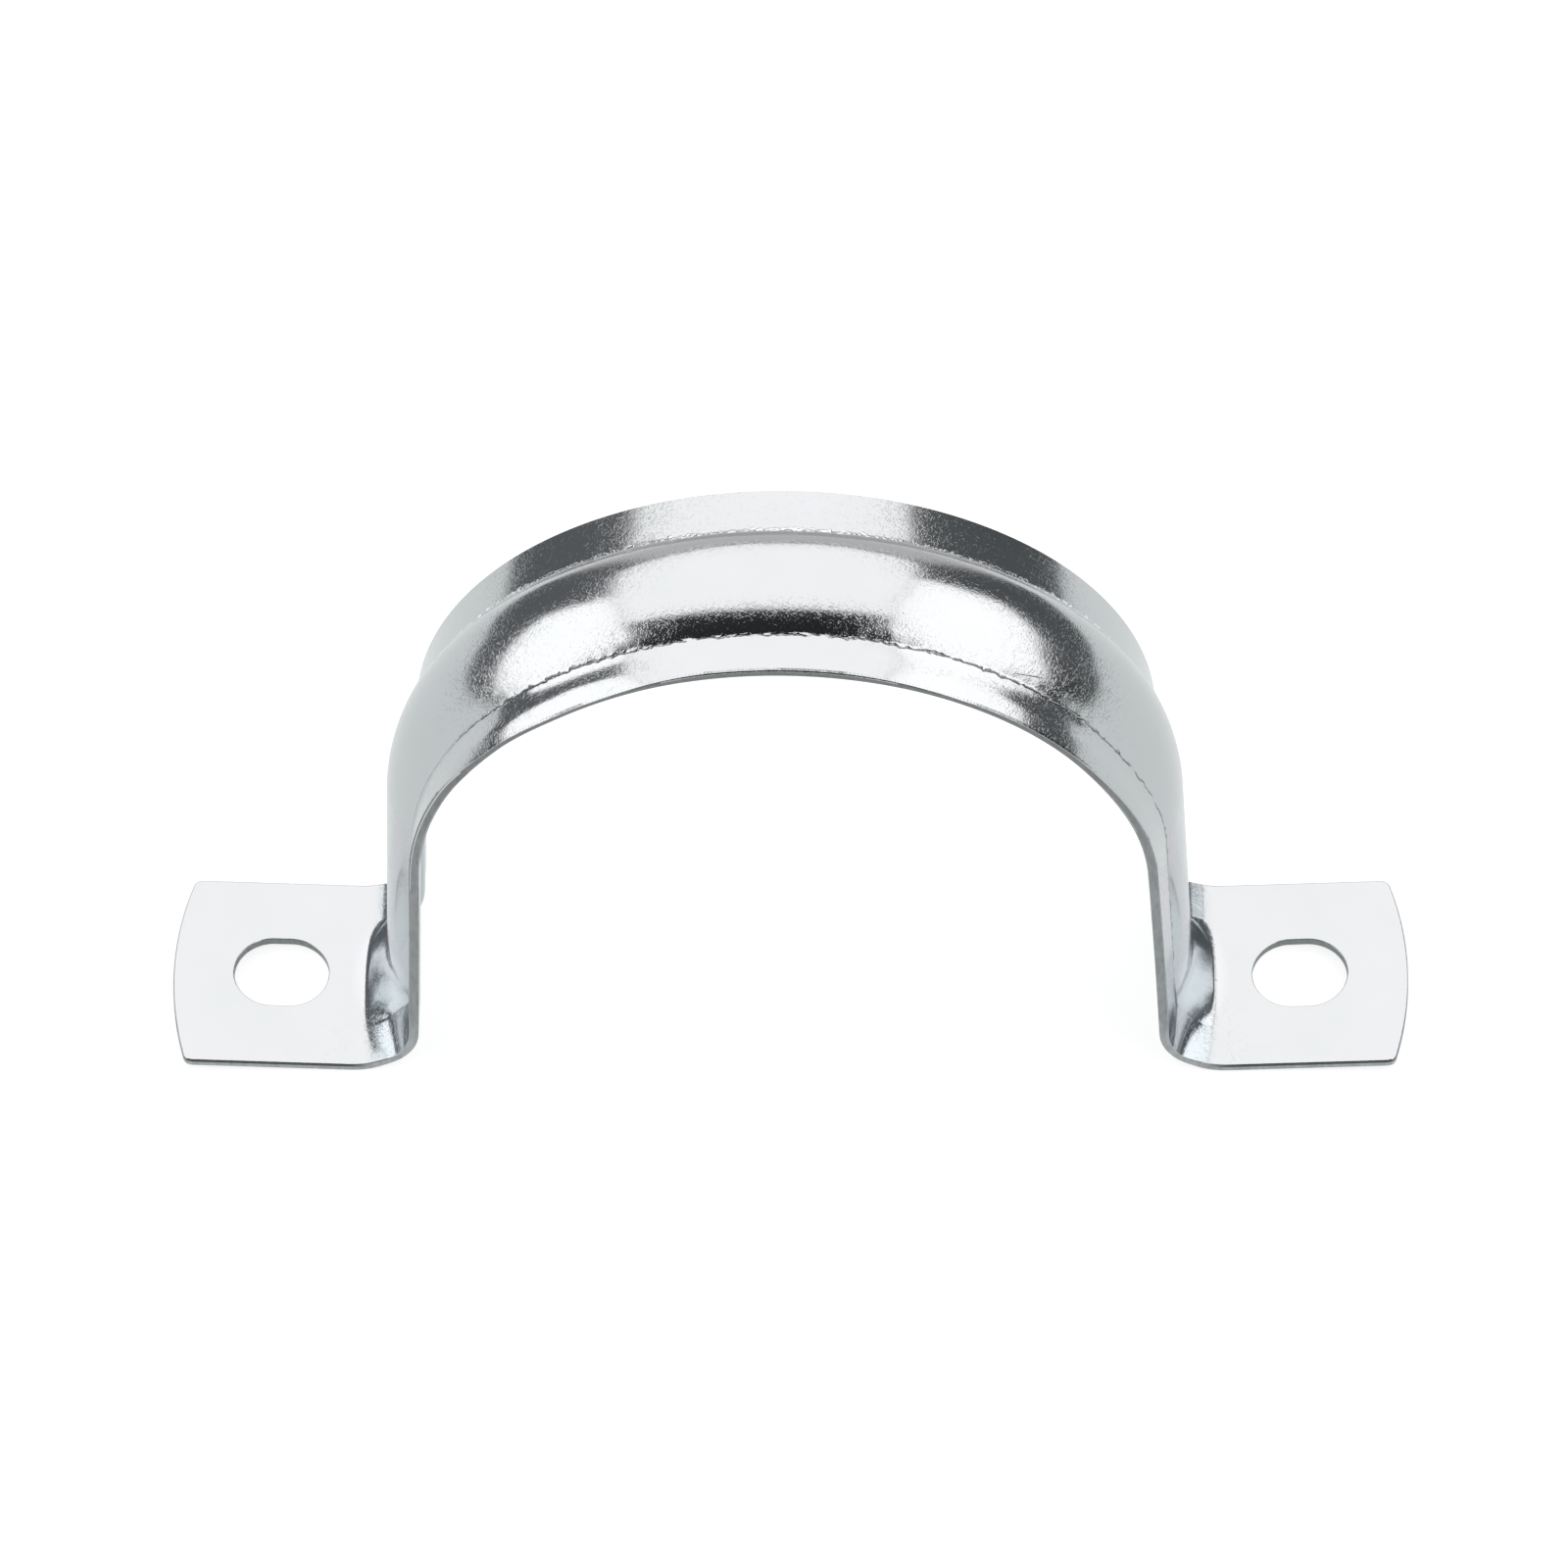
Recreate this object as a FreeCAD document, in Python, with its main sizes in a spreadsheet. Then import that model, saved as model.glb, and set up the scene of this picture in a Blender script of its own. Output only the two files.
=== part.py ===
"""Two-lug saddle clamp for conduit, pressed from one strip of zinc-plated steel.

The strip is arched over the pipe, runs down two straight legs and turns outwards into two slotted lugs.
A rounded stiffening bead is pressed outwards along the middle of the arch and the legs. At the foot of
each leg it fades into the bend, so the lug stays flat. The sheet is one thickness all over.

Model frame: X along the lugs, Y across the strip, Z up. The origin lies under the middle of the arch,
on the surface that the two bends rest on.
"""
import FreeCAD, Part
import math
import os
import Sketcher

# Driving sizes in millimetres, and the angle in degrees
SIZES = {
    # Inside radius of the arch: half of a 63 mm conduit with 0.25 mm to spare
    "arch_radius": 31.75,
    # Depth from the middle of the arch to the underside of a lug, along the leg
    "leg_drop": 31.3,
    # The legs and lugs have sprung open by this angle, so the lugs rise towards their tips
    "spring_angle": 3.25,
    "sheet_thickness": 0.9,
    # Width of the strip at the lugs, and how far each edge is drawn in beside the bead
    "strap_width": 19.5,
    "waist_depth": 0.45,
    # Bead across its foot, its rise above the flat edges, and the radius in its foot
    "bead_width": 11.8,
    "bead_height": 2.3,
    "bead_fillet": 0.5,
    # Radius on the upper side of the bend between leg and lug
    "bend_radius": 5.2,
    # Fixing slots, long in X, and the flat left between the end of the bend and the slot
    "slot_length": 8.6,
    "slot_width": 7.2,
    "slot_clearance": 0.1,
    # Lug beyond the slot, as far as the middle of its rounded end
    "end_margin": 5.5,
    "lug_end_radius": 32.0,
    "lug_corner_radius": 0.8,
}

NODE = "saddle_strap"
# Places along X that follow from the sizes: the end of the bend in front of the bead, the slot, the tip
BEND_END = (
    "((sizes.arch_radius + sizes.sheet_thickness + sizes.bend_radius + sizes.bead_height)"
    " * cos(sizes.spring_angle)"
    " + (sizes.leg_drop - sizes.sheet_thickness) * sin(sizes.spring_angle))"
)
SLOT_MIDDLE = f"({BEND_END} + sizes.slot_clearance + sizes.slot_length / 2)"
LUG_TIP = f"({SLOT_MIDDLE} + sizes.slot_length / 2 + sizes.end_margin)"
# Ends and centre of a sketch line or arc, and the sketch's own origin and axes
START, END, CENTRE = range(1, 4)
AXIS_X, AXIS_Y = range(-1, -3, -1)
ORIGIN = (AXIS_X, START)

doc = FreeCAD.newDocument("saddle_clamp")


def make_sheet():
    """Puts every driving size in its own named cell."""
    table = doc.addObject("Spreadsheet::Sheet", "sizes")
    for row, (name, value) in enumerate(SIZES.items(), start=1):
        table.set(f"A{row}", name)
        table.set(f"B{row}", str(value))
        table.setAlias(f"B{row}", name)
    doc.recompute()
    return table


sheet = make_sheet()
body = doc.addObject("PartDesign::Body", NODE)
body.Label = NODE


def size(name):
    """The value that the sheet holds for a named size."""
    return float(sheet.get(name))


def place(expression):
    """The value of an expression on the sheet."""
    return float(sheet.evalExpression(expression))


def origin_feature(role):
    """One of the body's own planes or axes, by its role."""
    return next(item for item in body.Origin.OriginFeatures if item.Role == role)


def point(x, y):
    return FreeCAD.Vector(x, y, 0)


def line(start, end):
    return Part.LineSegment(point(*start), point(*end))


def arc(centre, radius, first_degrees, last_degrees):
    """Counter-clockwise arc, so that its start is at the first angle."""
    circle = Part.Circle(point(*centre), FreeCAD.Vector(0, 0, 1), radius)
    return Part.ArcOfCircle(circle, math.radians(first_degrees), math.radians(last_degrees))


def new_sketch(name, role, turn_axis=None):
    """Sketch on one of the body's planes, turned by the spring angle where an axis is given."""
    sketch = body.newObject("Sketcher::SketchObject", name)
    sketch.AttachmentSupport = [(origin_feature(role), "")]
    sketch.MapMode = "FlatFace"
    if turn_axis is not None:
        turn = FreeCAD.Rotation(turn_axis, size("spring_angle"))
        sketch.AttachmentOffset = FreeCAD.Placement(FreeCAD.Vector(), turn)
        sketch.setExpression("AttachmentOffset.Rotation.Angle", "sizes.spring_angle")
    return sketch


def join(sketch, pairs):
    """Makes ends meet."""
    for first, second in pairs:
        sketch.addConstraint(Sketcher.Constraint("Coincident", *first, *second))


def blend(sketch, pairs):
    """Makes ends meet and run on smoothly."""
    for first, second in pairs:
        sketch.addConstraint(Sketcher.Constraint("Tangent", *first, *second))


def align(sketch, direction, edges):
    """Holds lines horizontal or vertical."""
    for edge in edges:
        sketch.addConstraint(Sketcher.Constraint(direction, edge))


def on_line(sketch, places, target):
    """Holds points on an edge or an axis."""
    for place in places:
        sketch.addConstraint(Sketcher.Constraint("PointOnObject", *place, target))


def dimension(sketch, name, kind, places, expression):
    """Adds a named dimension that follows the sheet."""
    value = place(expression)
    index = sketch.addConstraint(Sketcher.Constraint(kind, *places, value))
    sketch.renameConstraint(index, name)
    sketch.setExpression("Constraints." + name, expression)


def draw_section():
    """Cross-section of the strip where the arch meets the right leg: X outwards, Y across."""
    sketch = new_sketch("strap_section", "XY_Plane", FreeCAD.Vector(0, -1, 0))
    inside, thick = size("arch_radius"), size("sheet_thickness")
    outside = inside + thick
    edge, foot = size("strap_width") / 2, size("bead_width") / 2
    rise, fillet = size("bead_height"), size("bead_fillet")
    crown = (foot ** 2 + rise ** 2 - 2 * rise * fillet) / (2 * rise)
    slope = math.degrees(math.asin(foot / (crown + fillet)))
    middle = (outside + rise - crown, 0)
    low, high = (outside + fillet, -foot), (outside + fillet, foot)
    sketch.addGeometry([
        line((outside, -edge), (outside, -foot)),
        arc(low, fillet, 180 - slope, 180),
        arc(middle, crown, -slope, slope),
        arc(high, fillet, 180, 180 + slope),
        line((outside, foot), (outside, edge)),
        line((outside, edge), (inside, edge)),
        line((inside, edge), (inside, foot)),
        arc(high, fillet + thick, 180, 180 + slope),
        arc(middle, crown - thick, -slope, slope),
        arc(low, fillet + thick, 180 - slope, 180),
        line((inside, -foot), (inside, -edge)),
        line((inside, -edge), (outside, -edge)),
    ], False)
    crest = sketch.addGeometry(Part.Point(point(outside + rise, 0)), True)
    blend(sketch, [
        ((0, END), (1, END)), ((1, START), (2, START)), ((2, END), (3, END)), ((3, START), (4, START)),
        ((6, END), (7, START)), ((7, END), (8, END)), ((8, START), (9, START)), ((9, END), (10, START)),
    ])
    join(sketch, [
        ((4, END), (5, START)), ((5, END), (6, START)), ((10, END), (11, START)), ((11, END), (0, START)),
        ((7, CENTRE), (3, CENTRE)), ((8, CENTRE), (2, CENTRE)), ((9, CENTRE), (1, CENTRE)),
    ])
    align(sketch, "Vertical", (0, 4, 6, 10))
    align(sketch, "Horizontal", (5, 11))
    sketch.addConstraint(Sketcher.Constraint("Symmetric", 0, END, 4, START, AXIS_X))
    sketch.addConstraint(Sketcher.Constraint("Equal", 0, 4))
    on_line(sketch, [(2, CENTRE), (crest, START)], AXIS_X)
    on_line(sketch, [(crest, START)], 2)
    dimension(sketch, "inside_radius", "DistanceX", (*ORIGIN, 5, END), "sizes.arch_radius")
    dimension(sketch, "thickness", "DistanceX", (5, END, 5, START), "sizes.sheet_thickness")
    dimension(sketch, "width", "DistanceY", (0, START, 4, END), "sizes.strap_width")
    dimension(sketch, "foot_width", "DistanceY", (0, END, 4, START), "sizes.bead_width")
    dimension(sketch, "foot_radius", "Radius", (1,), "sizes.bead_fillet")
    dimension(sketch, "rise", "DistanceX", (4, START, crest, START), "sizes.bead_height")
    return sketch


def draw_foot_form(name, sizes):
    """Side view of one face of a leg, bend and lug, closed below into a block.

    sizes holds the expressions for the wall of the leg, the drop to the lug, the bend, the reach of
    the lug and the depth of the block behind the face.
    """
    sketch = new_sketch(name, "XZ_Plane", FreeCAD.Vector(0, 0, 1))
    sketch.setExpression("AttachmentOffset.Base.z", "sizes.strap_width / 2")
    wall, drop, bend, reach, depth = (place(text) for text in sizes.values())
    inner, floor = wall - depth, drop + depth
    sketch.addGeometry([
        line((inner, 0), (wall, 0)),
        line((wall, 0), (wall, bend - drop)),
        arc((wall + bend, bend - drop), bend, 180, 270),
        line((wall + bend, -drop), (reach, -drop)),
        line((reach, -drop), (reach, -floor)),
        line((reach, -floor), (inner, -floor)),
        line((inner, -floor), (inner, 0)),
    ], False)
    blend(sketch, [((1, END), (2, START)), ((2, END), (3, START))])
    join(sketch, [
        ((0, END), (1, START)), ((3, END), (4, START)), ((4, END), (5, START)),
        ((5, END), (6, START)), ((6, END), (0, START)),
    ])
    align(sketch, "Horizontal", (0, 3, 5))
    align(sketch, "Vertical", (1, 4, 6))
    on_line(sketch, [(0, START)], AXIS_X)
    dimension(sketch, "wall", "DistanceX", (*ORIGIN, 1, START), sizes["wall"])
    dimension(sketch, "drop", "DistanceY", (3, START, *ORIGIN), sizes["drop"])
    dimension(sketch, "bend", "Radius", (2,), sizes["bend"])
    dimension(sketch, "reach", "DistanceX", (*ORIGIN, 4, START), sizes["reach"])
    dimension(sketch, "back", "DistanceX", (0, START, 0, END), sizes["depth"])
    dimension(sketch, "floor", "DistanceY", (4, END, 4, START), sizes["depth"])
    return sketch


def draw_lug_end():
    """What is cut away beyond the rounded end of the right lug, in plan."""
    sketch = new_sketch("lug_end_cut", "XY_Plane")
    tip, radius = place(LUG_TIP), size("lug_end_radius")
    half = size("strap_width") / 2 + size("sheet_thickness")
    spread = math.degrees(math.asin(half / radius))
    corner = tip - radius + radius * math.cos(math.radians(spread))
    far = corner + size("leg_drop")
    sketch.addGeometry([
        arc((tip - radius, 0), radius, -spread, spread),
        line((corner, half), (far, half)),
        line((far, half), (far, -half)),
        line((far, -half), (corner, -half)),
    ], False)
    crest = sketch.addGeometry(Part.Point(point(tip, 0)), True)
    join(sketch, [
        ((0, END), (1, START)), ((1, END), (2, START)), ((2, END), (3, START)), ((3, END), (0, START)),
    ])
    align(sketch, "Horizontal", (1, 3))
    align(sketch, "Vertical", (2,))
    on_line(sketch, [(0, CENTRE), (crest, START)], AXIS_X)
    on_line(sketch, [(crest, START)], 0)
    sketch.addConstraint(Sketcher.Constraint("Symmetric", 0, START, 0, END, AXIS_X))
    dimension(sketch, "tip", "DistanceX", (*ORIGIN, crest, START), LUG_TIP)
    dimension(sketch, "end_radius", "Radius", (0,), "sizes.lug_end_radius")
    span = "sizes.strap_width + 2 * sizes.sheet_thickness"
    dimension(sketch, "span", "DistanceY", (0, START, 0, END), span)
    dimension(sketch, "length", "DistanceX", (1, START, 1, END), "sizes.leg_drop")
    return sketch


def draw_slot():
    """Fixing slot of the right lug, in plan."""
    sketch = new_sketch("slot_cut", "XY_Plane")
    middle, radius = place(SLOT_MIDDLE), size("slot_width") / 2
    run = (size("slot_length") - size("slot_width")) / 2
    near, far = middle - run, middle + run
    sketch.addGeometry([
        line((near, radius), (far, radius)),
        arc((far, 0), radius, -90, 90),
        line((far, -radius), (near, -radius)),
        arc((near, 0), radius, 90, 270),
    ], False)
    blend(sketch, [
        ((0, END), (1, END)), ((1, START), (2, START)), ((2, END), (3, END)), ((3, START), (0, START)),
    ])
    sketch.addConstraint(Sketcher.Constraint("Equal", 1, 3))
    on_line(sketch, [(1, CENTRE), (3, CENTRE)], AXIS_X)
    straight = "sizes.slot_length - sizes.slot_width"
    dimension(sketch, "half_width", "Radius", (1,), "sizes.slot_width / 2")
    dimension(sketch, "straight", "DistanceX", (3, CENTRE, 1, CENTRE), straight)
    near_centre = f"{SLOT_MIDDLE} - ({straight}) / 2"
    dimension(sketch, "near_centre", "DistanceX", (*ORIGIN, 3, CENTRE), near_centre)
    return sketch


def draw_waist():
    """What the bead has drawn in from the front edge between the two bends, in plan."""
    sketch = new_sketch("waist_cut", "XY_Plane")
    full, depth = size("strap_width") / 2, size("waist_depth")
    run = size("bend_radius")
    narrow_end = size("arch_radius") + size("sheet_thickness")
    wide_end = narrow_end + run
    waist, outer = full - depth, full + size("sheet_thickness")
    swing = 2 * math.degrees(math.atan2(depth, run))
    sweep = (run ** 2 + depth ** 2) / (4 * depth)
    sketch.addGeometry([
        line((-narrow_end, -waist), (narrow_end, -waist)),
        arc((narrow_end, -waist - sweep), sweep, 90 - swing, 90),
        arc((wide_end, sweep - full), sweep, 270 - swing, 270),
        line((wide_end, -full), (wide_end, -outer)),
        line((wide_end, -outer), (-wide_end, -outer)),
        line((-wide_end, -outer), (-wide_end, -full)),
        arc((-wide_end, sweep - full), sweep, 270, 270 + swing),
        arc((-narrow_end, -waist - sweep), sweep, 90, 90 + swing),
    ], False)
    blend(sketch, [
        ((0, END), (1, END)), ((1, START), (2, START)), ((6, END), (7, END)), ((7, START), (0, START)),
    ])
    join(sketch, [
        ((2, END), (3, START)), ((3, END), (4, START)), ((4, END), (5, START)), ((5, END), (6, START)),
    ])
    align(sketch, "Horizontal", (4,))
    align(sketch, "Vertical", (3, 5))
    for other in (2, 6, 7):
        sketch.addConstraint(Sketcher.Constraint("Equal", 1, other))
    sketch.addConstraint(Sketcher.Constraint("Symmetric", 0, START, 0, END, AXIS_Y))
    sketch.addConstraint(Sketcher.Constraint("Horizontal", 2, END, 6, START))
    sketch.addConstraint(Sketcher.Constraint("Vertical", 2, END, 2, CENTRE))
    sketch.addConstraint(Sketcher.Constraint("Vertical", 6, START, 6, CENTRE))
    leg_outside = "sizes.arch_radius + sizes.sheet_thickness"
    dimension(sketch, "narrow_length", "DistanceX", (0, START, 0, END), f"2 * ({leg_outside})")
    narrow_half = "sizes.strap_width / 2 - sizes.waist_depth"
    dimension(sketch, "narrow_half", "DistanceY", (0, END, *ORIGIN), narrow_half)
    dimension(sketch, "sweep_length", "DistanceX", (0, END, 2, END), "sizes.bend_radius")
    dimension(sketch, "sweep_depth", "DistanceY", (2, END, 0, END), "sizes.waist_depth")
    dimension(sketch, "margin", "DistanceY", (3, END, 3, START), "sizes.sheet_thickness")
    return sketch


def add_feature(kind, name):
    return body.newObject("PartDesign::" + kind, name)


def through_cut(sketch, name):
    """Cuts a plan outline straight down through the strip, below and above the sketch."""
    cut = add_feature("Pocket", name)
    cut.Profile = sketch
    cut.Type = "ThroughAll"
    cut.Midplane = True
    doc.recompute()
    return cut


def mirror(originals, role, name):
    """Repeats features on the other side of one of the body's planes."""
    copy = add_feature("Mirrored", name)
    copy.Originals = originals
    copy.MirrorPlane = (origin_feature(role), [""])
    body.Tip = copy
    doc.recompute()
    return copy


def build_arch(section):
    """Turns the section over the pipe, from the right leg to the left one."""
    arch = add_feature("Revolution", "arch")
    arch.Profile = section
    arch.ReferenceAxis = (origin_feature("Y_Axis"), [""])
    arch.Reversed = True
    arch.setExpression("Angle", "180 - 2 * sizes.spring_angle")
    doc.recompute()
    return arch


def build_foot(section):
    """Right leg, bend and lug.

    The side view of the upper face is carried across the strip along the outer line of the section
    without turning, which shifts it outwards by the height of the bead. The leg then shows the bead,
    the bend is pushed out in front of it, and the lug stays flat. The underside is cut away in the
    same way along the inner line of the section, which leaves a sheet of even thickness.
    """
    outer_line = ["Edge1", "Edge2", "Edge3", "Edge4", "Edge5"]
    inner_line = ["Edge7", "Edge8", "Edge9", "Edge10", "Edge11"]
    reach = LUG_TIP + " + sizes.sheet_thickness"
    upper = draw_foot_form("foot_upper_face", {
        "wall": "sizes.arch_radius + sizes.sheet_thickness",
        "drop": "sizes.leg_drop - sizes.sheet_thickness",
        "bend": "sizes.bend_radius",
        "reach": reach,
        "depth": "2 * sizes.sheet_thickness",
    })
    lower = draw_foot_form("foot_lower_face", {
        "wall": "sizes.arch_radius",
        "drop": "sizes.leg_drop",
        "bend": "sizes.bend_radius + sizes.sheet_thickness",
        "reach": reach + " + 2 * sizes.sheet_thickness",
        "depth": "3 * sizes.sheet_thickness",
    })
    doc.recompute()
    foot = add_feature("AdditivePipe", "foot")
    foot.Profile = upper
    foot.Spine = (section, outer_line)
    foot.Mode = "Fixed"
    doc.recompute()
    hollow = add_feature("SubtractivePipe", "foot_underside")
    hollow.Profile = lower
    hollow.Spine = (section, inner_line)
    hollow.Mode = "Fixed"
    doc.recompute()
    return [foot, hollow]


def round_lug_corners():
    """Rounds the four upright corner edges of the lugs."""
    side = size("strap_width") / 2
    strip = body.Tip
    corners = []
    for index, edge in enumerate(strip.Shape.Edges, start=1):
        ends = [vertex.Point for vertex in edge.Vertexes]
        upright = len(ends) == 2 and (ends[0] - ends[1]).cross(FreeCAD.Vector(0, 0, 1)).Length < 1e-6
        outermost = abs(edge.CenterOfMass.x) > place(SLOT_MIDDLE)
        if upright and outermost and abs(abs(edge.CenterOfMass.y) - side) < 1e-6:
            corners.append(f"Edge{index}")
    fillet = add_feature("Fillet", "lug_corners")
    fillet.Base = (strip, corners)
    fillet.setExpression("Radius", "sizes.lug_corner_radius")
    body.Tip = fillet
    doc.recompute()
    return corners


def stand_on_bends():
    """Lifts the body so that the lowest lines of the two bends lie on the ground."""
    under_bend = "(sizes.bend_radius + sizes.sheet_thickness)"
    body.setExpression(
        "Placement.Base.z",
        f"(sizes.leg_drop - {under_bend}) * cos(sizes.spring_angle) + {under_bend}"
        f" - (sizes.arch_radius + {under_bend}) * sin(sizes.spring_angle)",
    )
    doc.recompute()


def check_model():
    """Stops if any object failed or the strip is not one sound solid."""
    for item in doc.Objects:
        if "Invalid" in item.State or "Error" in item.State:
            raise RuntimeError(f"{item.Name} failed: {item.State}")
    shape = body.Shape
    if shape.isNull() or not shape.isValid() or len(shape.Solids) != 1:
        raise RuntimeError(f"{NODE} is not one valid solid")


section = draw_section()
doc.recompute()
build_arch(section)
right_foot = build_foot(section)
right_cuts = [through_cut(draw_lug_end(), "lug_end"), through_cut(draw_slot(), "slot")]
mirror(right_foot + right_cuts, "YZ_Plane", "left_foot")
mirror([through_cut(draw_waist(), "waist_front")], "XZ_Plane", "waist_back")
corner_edges = round_lug_corners()
stand_on_bends()
check_model()

os.makedirs("parts", exist_ok=True)
body.Shape.exportStep(f"parts/{body.Label}.step")
box = body.Shape.optimalBoundingBox()
print(f"{body.Label}: {box.XLength:.2f} x {box.YLength:.2f} x {box.ZLength:.2f} mm")
print(f"lowest point at {box.ZMin:.4f}, slots {2 * place(SLOT_MIDDLE):.3f} mm apart")
print(f"volume {body.Shape.Volume:.2f} mm3, {len(body.Shape.Faces)} faces")
print(f"{len(corner_edges)} rounded lug corners")
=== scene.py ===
# %% [markdown]
# A saddle clamp, made the way a press makes it
#
# This clamp is one strip of zinc-plated steel. A press gives it a rounded bead along the middle, bends it
# over a former into an arch with two legs, and turns the ends out into two lugs with a slot each. The
# lesson follows the same order: one line across the strip, swept round the arch, down the leg, round the
# bend and out along the lug. Then the sheet gets the marks of the press, its thickness, its slots, its
# rounded edges and its finish.

# %% Open the measured frame
import math

import bmesh
import bpy
from mathutils import Matrix, Vector, noise


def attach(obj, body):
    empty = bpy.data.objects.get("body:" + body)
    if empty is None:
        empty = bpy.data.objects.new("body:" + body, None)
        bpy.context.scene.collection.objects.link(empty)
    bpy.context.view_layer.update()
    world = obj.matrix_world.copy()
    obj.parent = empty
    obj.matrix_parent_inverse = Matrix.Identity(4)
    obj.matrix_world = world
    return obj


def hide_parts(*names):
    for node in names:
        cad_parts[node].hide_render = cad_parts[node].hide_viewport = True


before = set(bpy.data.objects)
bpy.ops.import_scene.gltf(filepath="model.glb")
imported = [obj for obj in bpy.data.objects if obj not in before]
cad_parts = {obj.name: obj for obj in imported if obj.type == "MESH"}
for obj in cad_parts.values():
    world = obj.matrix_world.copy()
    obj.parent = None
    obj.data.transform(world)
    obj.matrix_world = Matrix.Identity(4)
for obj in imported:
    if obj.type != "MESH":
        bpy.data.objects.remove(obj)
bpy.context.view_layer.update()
scene = bpy.context.scene
scene.view_settings.view_transform = "Standard"

# %% [markdown]
# The camera
#
# The picture was taken from in front and well above, with a long lens, a little to the right of the
# middle. A camera that is tracked to a target would also roll a little, because it stands off to one
# side. So the turn is built by hand: tip down, then a small pan back to the left, then a very small tilt.

# %% Stand the camera
mm = 0.001
arch_middle = Vector((0.0, 0.0, 29.114 * mm))
look_down = math.radians(55.4)
pan_left = math.radians(1.169)
last_tilt = math.radians(0.1017)
camera_distance = 691.4 * mm
camera_aside = 14.03 * mm
film_width = 36.0
lens_length = 180.77

turn = Matrix.Rotation(math.pi / 2 - look_down, 4, "X")
turn = turn @ Matrix.Rotation(pan_left, 4, "Y")
turn = turn @ Matrix.Rotation(last_tilt, 4, "X")
stand = Vector((
    camera_aside,
    -camera_distance * math.cos(look_down),
    camera_distance * math.sin(look_down),
))
bpy.ops.object.select_all(action="DESELECT")
bpy.ops.object.camera_add(location=arch_middle + stand, rotation=turn.to_euler())
camera = bpy.context.object
camera.name = "bench_camera"
camera.data.sensor_width = film_width
camera.data.lens = lens_length
scene.camera = camera
print("camera at, mm:", [round(value / mm, 1) for value in camera.location])

# %% [markdown]
# The line across the strip
#
# Cut the strap across its crown and the cut shows a flat flange, a small hollow fillet, the round bead,
# and the same again on the other side. A profile curve could be swept along a path, but here the strip
# changes its own width and runs out flat at the feet, so a plain mesh is easier to steer. A plane is
# collapsed to a single point, and that point is pulled across the strip from station to station.

# %% Measure the section
half_waist = 9.3
bead_foot = 5.9
bead_height = 2.3
bead_fillet = 0.5
flange = half_waist - bead_foot
bead_dome = (bead_foot**2 + bead_height**2 - 2 * bead_height * bead_fillet) / (2 * bead_height)
bead_slope = math.asin(bead_foot / (bead_dome + bead_fillet))
dome_reach = bead_dome * math.sin(bead_slope)


def bead_rise(across):
    """Height of the outer face above the flat flanges, in millimetres."""
    across = abs(across)
    if across >= bead_foot:
        return 0.0
    if across > dome_reach:
        return bead_fillet - math.sqrt(bead_fillet**2 - (bead_foot - across)**2)
    return bead_height - bead_dome + math.sqrt(bead_dome**2 - across**2)


print("bead dome radius, mm:", round(bead_dome, 3))

# %% Choose the stations across the strip
dome_steps = 14
fillet_steps = 7
flange_shares = [0.02, 0.045, 0.075, 0.11, 0.16, 0.24, 0.36, 0.46]
flange_shares += [0.54, 0.62, 0.71, 0.80, 0.88, 0.94, 0.975, 1.0]

stations = [bead_dome * math.sin(bead_slope * step / dome_steps) for step in range(dome_steps + 1)]
for step in range(1, fillet_steps + 1):
    stations.append(bead_foot - bead_fillet * math.sin(bead_slope * (1 - step / fillet_steps)))
for share in flange_shares:
    stations.append(bead_foot + share * flange)
stations = [-across for across in reversed(stations[1:])] + stations
print("stations across the strip:", len(stations))

# %% Pull one line across the crown
outer_radius = 32.65


def pull(way):
    """Pull what is selected along a way, and leave edges or faces behind it."""
    bpy.ops.mesh.extrude_region_move(TRANSFORM_OT_translate={"value": way})


section = []
for across in stations:
    section.append(Vector((0.0, across * mm, arch_middle.z + (outer_radius + bead_rise(across)) * mm)))

bpy.ops.object.select_all(action="DESELECT")
bpy.ops.mesh.primitive_plane_add(size=2 * mm, location=(0.0, 0.0, 0.0))
strap = bpy.context.object
strap.name = "pressed_saddle"
bpy.ops.object.mode_set(mode="EDIT")
bpy.ops.mesh.select_all(action="SELECT")
bpy.ops.mesh.merge(type="CENTER")
bpy.ops.transform.translate(value=section[0])
for start, end in zip(section, section[1:]):
    pull(end - start)
strap.update_from_editmode()
print("points on the first line:", len(strap.data.vertices))

# %% [markdown]
# Arch, leg and bend
#
# Spin turns the line about the arch's middle. The legs lean out a little, so the arch stops a few degrees
# short of upright, and the leg runs on straight from there. At the foot the whole line keeps its attitude
# and only slides round the bend: that is why the bead runs out over the lug as a pointed arch instead of
# turning the corner with it.

# %% Spin the arch and run down the leg
spring_angle = 3.25
spring = math.radians(spring_angle)
down_leg = Vector((math.sin(spring), 0.0, -math.cos(spring)))
out_lug = Vector((math.cos(spring), 0.0, math.sin(spring)))
arch_steps = 150
leg_steps = 48
leg_run = 25.2

bpy.ops.mesh.select_all(action="SELECT")
bpy.ops.mesh.spin(steps=arch_steps, angle=spring - math.pi / 2, center=arch_middle, axis=(0.0, 1.0, 0.0))
for step in range(leg_steps):
    pull(down_leg * leg_run * mm / leg_steps)
print("arch and leg rows:", arch_steps + leg_steps)

# %% Slide the line round the bend
bend_radius = 5.2
bend_steps = 22
bend_crowding = 1.5


def round_bend(share):
    """Way gone from the end of the leg, at a share of the bend."""
    angle = math.pi / 2 * share
    return (out_lug * (1 - math.cos(angle)) + down_leg * math.sin(angle)) * bend_radius * mm


bend_shares = [1 - (1 - step / bend_steps)**bend_crowding for step in range(bend_steps + 1)]
for start, end in zip(bend_shares, bend_shares[1:]):
    pull(round_bend(end) - round_bend(start))
print("bend rows:", bend_steps)

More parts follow.
